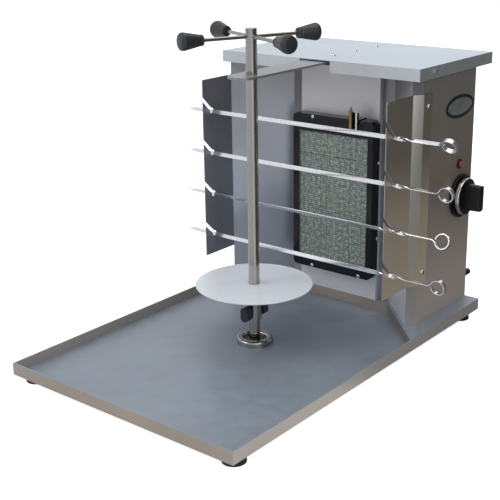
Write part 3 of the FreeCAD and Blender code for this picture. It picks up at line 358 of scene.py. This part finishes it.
reflectorSteel = sheetSteel("satin stainless reflector",
                            ("#8a8b92", "#e8e9ee", "#a2a2a6", "#c0c4ce", "#9a9ba2"), "#8a8a90",
                            grain=upright, roughness=0.34, blotch=0.08, along=("Z", 0.08, 0.5),
                            paintedShadeStops=[(0.0, "#ffffff"), (0.5, "#f4f4f4"), (1.0, "#bcb9b6")])
plateSteel = sheetSteel("satin stainless burner plate", ("#dcdce0",) * 5, "#b0b0b0", grain=upright,
                        roughness=0.4, metallic=0.3, along=("Z", 0.05, 0.5),
                        paintedShadeStops=[(0.0, "#ffffff"), (1.0, "#f2efee")])
wingSteel = sheetSteel("satin stainless right wing",
                       ("#87837f", "#9a9896", "#a4a19e", "#a8acae", "#c9bca7"), "#c4c6c8",
                       grain=upright, roughness=0.34, blotch=0.06, along=("Z", 0.1, 0.48),
                       allFaces=False,
                       paintedShadeStops=[(0.0, "#ffffff"), (0.4, "#dcdcdc"), (0.7, "#9a9c9e"),
                                   (1.0, "#94989a")])
leftWingSteel = sheetSteel("satin stainless left wing",
                           ("#57534f", "#6a6866", "#74716e", "#8a9094", "#969aa3"), "#b8bcbe",
                           grain=upright, roughness=0.34, blotch=0.06, along=("Z", 0.1, 0.48),
                           allFaces=False,
                           paintedShadeStops=[(0.0, "#ffffff"), (0.5, "#ffffff"), (1.0, "#c5bcbf")])
armSteel = sheetSteel("satin stainless arm", ("#8a8c8e",) * 4 + ("#7c7e80",), "#94979b",
                      grain=foreAndAft, roughness=0.34)
# the disc is brushed in the round, which leaves it more matt than the sheets; its top is painted near white
# and its sides darker, as painted light and shade
discSteel = sheetSteel("brushed disc", ("#b9c1c8",) * 5, "#f2f7fc", grain=(1, 30, 30), roughness=0.4,
                       metallic=0.25, blotch=0.05)

# bars and fixings: polished or plated, so that they mirror what is around them in narrow bright and dark lines
brightBar = plainMetal("polished stainless bar", "#a4a29e", 0.14)
skewerSteel = plainMetal("bright skewer steel", "#f4f4f7", 0.2)
zincScrew = plainMetal("bright zinc", "#ececec", 0.25)
darkSteel = plainMetal("oiled dark steel", "#55524e", 0.35)
chromeTrim = plainMetal("chrome", "#d8d8d8", 0.08)
# gas fittings: turned brass dulled by heat, copper pipe as it is drawn, and a rough sand casting
brassMetal = plainMetal("turned brass", "#9c845a", 0.42)
copperPipe = plainMetal("drawn copper", "#b07050", 0.3)
castAluminium = plainMetal("cast aluminium", "#9a9a9c", 0.5, mark=10 / 9, spread=0.15)
meshWire = plainMetal("heat dulled mesh wire", "#8f958c", 0.5)

# stove enamel is smooth and glossy, with a slow waviness and weak shine
blackEnamel = mouldedPlastic("gloss black enamel", "#0b0c10", roughness=0.2, grain=10 / 3,
                             strength=0.03, shine=0.3)
# phenolic grips are charcoal with a soft gloss, the knob and the badge's rim nearly black
blackPlastic = mouldedPlastic("moulded black phenolic", "#26282c", roughness=0.34)
knobPlastic = mouldedPlastic("moulded black knob", "#0f1010", roughness=0.3, shine=0.35)
redPlastic = mouldedPlastic("moulded red plastic", "#8f3438", roughness=0.4)
# rubber is matt, with a coarser skin
footRubber = mouldedPlastic("black rubber", "#121212", roughness=0.7, grain=2.0, strength=0.2)
badgeMetal = mouldedPlastic("black badge rim", "#161718", roughness=0.3, shine=0.35)
badgeField = mouldedPlastic("bare grey badge field", "#565a58", roughness=0.4)

dress(["base_tray"], traySteel)
dress(["hood"], hoodSteel)
dress(["left_side_panel", "right_side_panel", "rear_cover"], wallSteel)
dress(["reflector"], reflectorSteel)
dress(["burner_plate"], plateSteel)
dress(["left_wing"], leftWingSteel)
dress(["right_wing"], wingSteel)
dress(["support_arm"], armSteel)
dress(["meat_disc"], discSteel)
dress(["spindle", "disc_collar", "spindle_cup", "handle_rods", "valve_stem"], brightBar)
dress(["skewer_%d" % k for k in (1, 2, 3, 4)], skewerSteel)
dress(["foot_studs", "cup_screws", "arm_spacers", "hood_top_screws", "arm_nuts", "hood_side_screws",
       "wing_screws", "burner_screws", "rear_cover_screws", "thermocouple"], zincScrew)
dress(["knob_trim"], chromeTrim)
dress(["pilot_burner", "injector", "gas_valve"], brassMetal)
dress(["gas_inlet", "pivot_bush"], darkSteel)
dress(["feed_pipe", "supply_pipe"], copperPipe)
dress(["mixing_tube"], castAluminium)
dress(["guard_mesh"], meshWire)
dress(["burner_frame", "burner_chamber", "pilot_bracket"], blackEnamel)
dress(["ceramic_tiles"], tileCeramic())
dress(["handle_grip_%d" % k for k in (1, 2, 3, 4)], blackPlastic)
dress(["clamp_knob_front", "clamp_knob_rear"], blackPlastic)
dress(["control_knob", "knob_bezel", "igniter_body"], knobPlastic)
dress(["igniter_button"], redPlastic)
dress(["foot_front_left", "foot_front_right", "foot_rear_left", "foot_rear_right"], footRubber)
dress(["badge_plate"], badgeMetal)
print("materials given")

# pieces that replace plain CAD nodes

# the sheets' thin cut edges: sheared steel, given a bright colour as a painted highlight where the edges catch
# the light
shearedEdgeHighlight = plainMetal("bright sheared steel edge", "#a8abae", 0.22)


def cadCopy(name, angle=0.6):
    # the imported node's mesh, merged and with its flat faces joined
    mesh = bmesh.new()
    mesh.from_mesh(nodes[name].data)
    bmesh.ops.remove_doubles(mesh, verts=mesh.verts, dist=1e-6)
    bmesh.ops.dissolve_limit(mesh, angle_limit=math.radians(angle), verts=mesh.verts, edges=mesh.edges)
    return mesh


def finished(name, mesh, materials, node, body="grill", smooth=35, soften=None):
    # a piece that stands for a CAD node: smooth up to an angle in degrees, with its edges softened by mm
    piece = meshObject(name, mesh)
    for material in materials:
        piece.data.materials.append(material)
    piece.data.shade_smooth()
    piece.data.set_sharp_from_angle(angle=math.radians(smooth))
    if soften:
        bevel = piece.modifiers.new("soft edges", "BEVEL")
        bevel.width = soften * mm
        bevel.segments = 2
        bevel.limit_method = "ANGLE"
        bevel.angle_limit = math.radians(smooth)
        bevel.harden_normals = True
        bevel.use_clamp_overlap = True
    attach(piece, body)
    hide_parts(node)


def sheetPiece(name, node, material, gauge, soften=0.3):
    # bent sheet of a gauge in mm: its sheared cut edges are smoother than its brushed faces, and are made
    # brighter as a painted highlight
    mesh = cadCopy(node)
    for face in mesh.faces:
        spots = [v.co for v in face.verts]
        spans = sorted(max(c[i] for c in spots) - min(c[i] for c in spots) for i in range(3))
        if spans[1] < (gauge + 0.3) * mm or face.calc_area() < (gauge + 0.3) * mm * spans[2]:
            face.material_index = 1
    finished(name, mesh, [material, shearedEdgeHighlight], node, soften=soften)


sheetPiece("tray_sheet", "base_tray", traySteel, 3.0, 0.6)
sheetPiece("hood_sheet", "hood", hoodSteel, 1.2, 0.8)
sheetPiece("left_panel_sheet", "left_side_panel", wallSteel, 1.2, None)
sheetPiece("right_panel_sheet", "right_side_panel", wallSteel, 1.2, None)
sheetPiece("rear_cover_sheet", "rear_cover", wallSteel, 1.2, None)
sheetPiece("reflector_sheet", "reflector", reflectorSteel, 1.2)
sheetPiece("burner_plate_sheet", "burner_plate", plateSteel, 1.2)
sheetPiece("left_wing_sheet", "left_wing", leftWingSteel, 1.5)
sheetPiece("right_wing_sheet", "right_wing", wingSteel, 1.5)
finished("arm_bar", cadCopy("support_arm"), [armSteel], "support_arm", soften=1.0)
finished("disc_plate", cadCopy("meat_disc"), [discSteel], "meat_disc", "disc", soften=0.6)
finished("burner_frame_pressing", cadCopy("burner_frame"), [blackEnamel], "burner_frame", soften=1.2)
finished("knob_bezel_ring", cadCopy("knob_bezel"), [knobPlastic], "knob_bezel", soften=1.5)
for corner in ("front_left", "front_right", "rear_left", "rear_right"):
    finished("rubber_foot_" + corner, cadCopy("foot_" + corner), [footRubber], "foot_" + corner,
             soften=1.5)
print("sheet pieces made")


def turnedMesh(profile, steps=48):
    # a profile of radius and height pairs in mm, spun about Z; ends on the axis close by themselves
    mesh = bmesh.new()
    spots = [mesh.verts.new((r * mm, 0, z * mm)) for r, z in profile]
    for first, second in zip(spots, spots[1:]):
        mesh.edges.new((first, second))
    bmesh.ops.spin(mesh, geom=mesh.verts[:] + mesh.edges[:], cent=(0, 0, 0), axis=(0, 0, 1),
                   angle=2 * math.pi, steps=steps, use_merge=True)
    bmesh.ops.remove_doubles(mesh, verts=mesh.verts, dist=1e-6)
    bmesh.ops.recalc_face_normals(mesh, faces=mesh.faces)
    return mesh


def facing(direction, at, roll=0):
    # a matrix that takes local +Z to a direction and the origin to a point in mm
    turn = Vector(direction).to_track_quat("Z", "Y").to_matrix().to_4x4()
    return Matrix.Translation(Vector(at) * mm) @ turn @ Matrix.Rotation(math.radians(roll), 4, "Z")


def moved(mesh, matrix):
    bmesh.ops.transform(mesh, matrix=matrix, verts=mesh.verts)
    return mesh


def joined(target, mesh):
    # add one bmesh to another
    data = bpy.data.meshes.new("part")
    mesh.to_mesh(data)
    mesh.free()
    target.from_mesh(data)
    bpy.data.meshes.remove(data)


# cross handle: tapered phenolic grips on four screwed in rods
grip = {
    "y": -20, "level": 579.5, "turn": 67,  # the spindle's place, the rods' height and first direction
    "inner": 91, "length": 43,  # from the spindle's axis to the neck, and on to the end
    "neck": 19, "wide": 31,
}


def makeGrips():
    wide, neck, length = grip["wide"] / 2, grip["neck"] / 2, grip["length"]
    profile = [(3.4, 0.4), (neck - 1.2, 0), (neck - 0.3, 0.4), (neck, 1.4), (neck + 0.2, 3),
               (neck - 0.5, 4), (neck + 0.3, 5)]
    for k in range(1, 9):
        along = k / 8
        profile.append((neck + (wide - neck) * along ** 0.92, 5 + (length - 13) * along))
    profile += [(wide, length - 6), (wide - 0.5, length - 3.6), (wide - 1.8, length - 1.7),
                (wide - 4, length - 0.5), (wide - 7.5, length), (0, length)]
    for k in range(1, 5):
        angle = math.radians(grip["turn"] + 90 * (k + 1))
        away = Vector((math.cos(angle), math.sin(angle), 0))
        at = away * grip["inner"] + Vector((0, grip["y"], grip["level"]))
        mesh = moved(turnedMesh(profile), facing(away, at))
        finished("grip_%d" % k, mesh, [blackPlastic], "handle_grip_%d" % k, "spindle", smooth=50)


makeGrips()

# gas knob: a black skirt in a chromed ring, a bar to hold across it and a pointer on the bar
knob = {
    "start": 228.3, "y": 340, "z": 255,
    "skirt": 34, "skirtDeep": 7,  # radius and depth of the round skirt
    "grip": 26, "bar": 20, "deep": 37,  # radius, width and depth of the bar that the hand turns
    "crown": 1.6,  # rounding of the bar's outer edge
    "pointer": (14, 2.4, 0.7), "pointerAt": 13,  # bright line's length, width and height, and its place
    "trim": 36,  # radius of the chrome ring
}


def makeKnob():
    skirt, low, deep = knob["skirt"], knob["skirtDeep"], knob["deep"]
    mesh = turnedMesh([(4.1, 0), (skirt, 0), (skirt, low - 1), (skirt - 1, low), (0, low)], steps=80)
    bar = bmesh.new()
    half, flat = knob["grip"], knob["bar"] / 2
    edge = math.asin(flat / half)
    rim = []
    for start in (0, math.pi):
        for k in range(-6, 7):
            turn = start + edge * k / 6
            rim.append((half * math.cos(turn), half * math.sin(turn)))
    foot = bar.faces.new([bar.verts.new((x * mm, y * mm, (low - 1) * mm)) for x, y in rim])
    made = bmesh.ops.extrude_face_region(bar, geom=[foot])
    rise = [v for v in made["geom"] if isinstance(v, bmesh.types.BMVert)]
    bmesh.ops.translate(bar, vec=(0, 0, (deep - low + 1) * mm), verts=rise)
    for vert in rise:
        vert.co.y *= 0.86
        vert.co.x *= 0.97
    bmesh.ops.recalc_face_normals(bar, faces=bar.faces)
    crown = [e for e in bar.edges if all(v.co.z > (deep - 0.1) * mm for v in e.verts)]
    bmesh.ops.bevel(bar, geom=crown, offset=knob["crown"] * mm, segments=3, profile=0.5,
                    affect="EDGES", material=-1)
    joined(mesh, bar)
    pointer = bmesh.new()
    long, wide, high = knob["pointer"]
    bmesh.ops.create_cube(pointer, size=1,
                          matrix=Matrix.Translation((-knob["pointerAt"] * mm, 0, (deep - high / 2) * mm))
                          @ Matrix.Diagonal((long * mm, wide * mm, high * mm, 1)))
    bmesh.ops.bevel(pointer, geom=pointer.edges[:], offset=0.25 * mm, segments=2, profile=0.5,
                    affect="EDGES", material=-1)
    for face in pointer.faces:
        face.material_index = 1
    joined(mesh, pointer)
    # the bar stands upright when the gas is off
    place = facing((1, 0, 0), (knob["start"], knob["y"], knob["z"]))
    upright = place.inverted().to_3x3() @ Vector((0, 0, 1))
    place = place @ Matrix.Rotation(math.atan2(upright.y, upright.x) + math.pi, 4, "Z")
    moved(mesh, place)
    finished("gas_knob", mesh, [knobPlastic, chromeTrim], "control_knob", "control_knob", smooth=40)
    rim = knob["trim"]
    ring = turnedMesh([(skirt, 0), (rim, 0), (rim, low - 2), (rim - 0.6, low - 0.4), (skirt, low),
                       (skirt, 0)], steps=80)
    moved(ring, facing((1, 0, 0), (knob["start"], knob["y"], knob["z"])))
    finished("knob_ring", ring, [chromeTrim], "knob_trim", "control_knob", smooth=50)


makeKnob()

# igniter: domed red button in a black ring
igniter = {
    "x": 219, "y": 331, "z": 319,
    "wide": 6,  # radius of the button
    "proud": 6, "deep": 27.2,  # in front of the wall and behind it
    "edge": 4, "dome": 2.5,  # where the dome starts, and its rounding
}


def makeIgniter():
    wide, edge, dome, proud = igniter["wide"], igniter["edge"], igniter["dome"], igniter["proud"]
    profile = [(0, -igniter["deep"]), (wide, -igniter["deep"]), (wide, edge)]
    for k in range(1, 6):
        bend = math.radians(18 * k)
        profile.append((wide - dome + dome * math.cos(bend), edge + (proud - edge) * math.sin(bend)))
    profile.append((0, proud))
    place = facing((1, 0, 0), (igniter["x"], igniter["y"], igniter["z"]))
    button = moved(turnedMesh(profile, 32), place)
    finished("igniter_cap", button, [redPlastic], "igniter_button", "igniter_button", smooth=45)


makeIgniter()

# badge: a black oval with a raised rim and a bare grey field
badge = {
    "start": 219, "y": 323, "z": 431,
    "long": 105, "high": 43,
    "rim": 6, "proud": 1.5, "sunk": 0.5,  # rim's width and height, and the field's depth below it
}


def makeBadge():
    long, high, rim = badge["long"] / 2, badge["high"] / 2, badge["rim"]
    proud, sunk = badge["proud"], badge["proud"] - badge["sunk"]
    rings = [(0, 0), (0, proud - 0.3), (0.3, proud), (rim - 0.4, proud), (rim, sunk)]
    mesh = bmesh.new()
    loops = []
    around = 72
    for inset, deep in rings:
        loop = []
        for k in range(around):
            turn = math.tau * k / around
            loop.append(mesh.verts.new((deep * mm, (long - inset) * math.cos(turn) * mm,
                                        (high - inset) * math.sin(turn) * mm)))
        loops.append(loop)
    for first, second in zip(loops, loops[1:]):
        for k in range(around):
            mesh.faces.new((first[k], first[k - 1], second[k - 1], second[k]))
    mesh.faces.new(loops[0])
    field = mesh.faces.new(loops[-1])
    bmesh.ops.recalc_face_normals(mesh, faces=mesh.faces)
    field.material_index = 1
    moved(mesh, Matrix.Translation(Vector((badge["start"], badge["y"], badge["z"])) * mm))
    finished("badge_oval", mesh, [badgeMetal, badgeField], "badge_plate", smooth=40)


makeBadge()

# skewers: flat bars with a hand twist and a rolled loop
for k in (1, 2, 3, 4):
    name = "skewer_%d" % k
    finished("skewer_bar_%d" % k, cadCopy(name, 0.2), [skewerSteel], name, name, smooth=25, soften=0.35)
print("turned pieces made")

# guard mesh: welded wires, uprights behind the cross wires
guard = {
    "front": 227.1, "half": 84, "low": 98, "high": 371,
    "wide": 162, "rise": 265, "bottom": 102,  # the woven field inside its margin
    "pitch": 12.5, "wire": 0.35,  # wire is a radius
}


def wire(start, end, radius):
    mesh = bmesh.new()
    run = Vector(end) - Vector(start)
    bmesh.ops.create_cone(mesh, cap_ends=True, segments=6, radius1=radius * mm, radius2=radius * mm,
                          depth=run.length * mm)
    return moved(mesh, facing(run, (Vector(start) + Vector(end)) / 2))


def makeGuard():
    mesh = bmesh.new()
    y, w = guard["front"], guard["wire"]
    wide, rise = guard["wide"], guard["rise"]
    columns = int(wide // guard["pitch"])
    rows = int(rise // guard["pitch"])
    for k in range(columns + 1):
        x = -wide / 2 + wide * k / columns
        joined(mesh, wire((x, y + w, guard["low"]), (x, y + w, guard["high"]), w))
    for k in range(rows + 1):
        z = guard["bottom"] + rise * k / rows
        joined(mesh, wire((-guard["half"], y, z), (guard["half"], y, z), w))
    finished("guard_wires", mesh, [meshWire], "guard_mesh", smooth=60)


makeGuard()

# pan head screws with a cross recess drawn as a flat dark cross of painted shade, one for each solid of the
# CAD groups
screw = {"head": 1.9, "high": 0.6}  # head's width and height for each mm of thread


def screwHead(wide):
    head = wide * screw["head"] / 2
    high = wide * screw["high"]
    mesh = turnedMesh([(0, 0), (head, 0), (head, high * 0.45), (head * 0.93, high * 0.75),
                       (head * 0.72, high * 0.94), (head * 0.45, high), (0, high)], steps=20)
    # the cross recess: two thin dark bars laid on the head's top, painted shade where the hollow would be
    for turn in (0, 90):
        slot = bmesh.new()
        bmesh.ops.create_cube(slot, size=1, matrix=Matrix.Rotation(math.radians(turn), 4, "Z")
                              @ Matrix.Translation((0, 0, high * mm))
                              @ Matrix.Diagonal((head * 1.1 * mm, head * 0.24 * mm, high * 0.12 * mm, 1)))
        for face in slot.faces:
            face.material_index = 1
        joined(mesh, slot)
    return mesh


def makeScrews(name, wide, outward):
    # each island of the node gets a detailed head on its outer end and keeps its shank
    mesh = bmesh.new()
    mesh.from_mesh(nodes[name].data)
    bmesh.ops.remove_doubles(mesh, verts=mesh.verts, dist=1e-6)
    left = set(mesh.verts)
    whole = bmesh.new()
    while left:
        island, queue = set(), [left.pop()]
        while queue:
            vert = queue.pop()
            island.add(vert)
            for edge in vert.link_edges:
                other = edge.other_vert(vert)
                if other in left:
                    left.remove(other)
                    queue.append(other)
        low = Vector([min(v.co[i] for v in island) for i in range(3)]) / mm
        high = Vector([max(v.co[i] for v in island) for i in range(3)]) / mm
        middle = (low + high) / 2
        away = Vector(outward(middle))
        axis = max(range(3), key=lambda i: abs(away[i]))
        end = middle.copy()
        end[axis] = high[axis] if away[axis] > 0 else low[axis]
        base = end - away * wide * screw["high"]
        joined(whole, moved(screwHead(wide), facing(away, base, roll=random.uniform(0, 90))))
        back = middle.copy()
        back[axis] = low[axis] if away[axis] > 0 else high[axis]
        joined(whole, wire(base, back, wide / 2))
    mesh.free()
    finished(name.replace("screws", "fixings"), whole, [zincScrew, paintedRecessShade], name, smooth=40)


random.seed(7)
# the cross recess's dark colour is painted shade
paintedRecessShade = plainMetal("dark screw recess", "#4a4a4a", 0.5)
makeScrews("wing_screws", 5, lambda m: (1 if m.x > 0 else -1, 0, 0))
makeScrews("hood_top_screws", 5, lambda m: (0, 0, 1))
makeScrews("rear_cover_screws", 4, lambda m: (0, 1, 0))
# the burner's outer screws sit in the frame's sides, the others in its front
makeScrews("burner_screws", 4,
           lambda m: ((1 if m.x > 0 else -1), 0, 0) if abs(m.x) > 80 else (0, -1, 0))
print("guard and screws made")
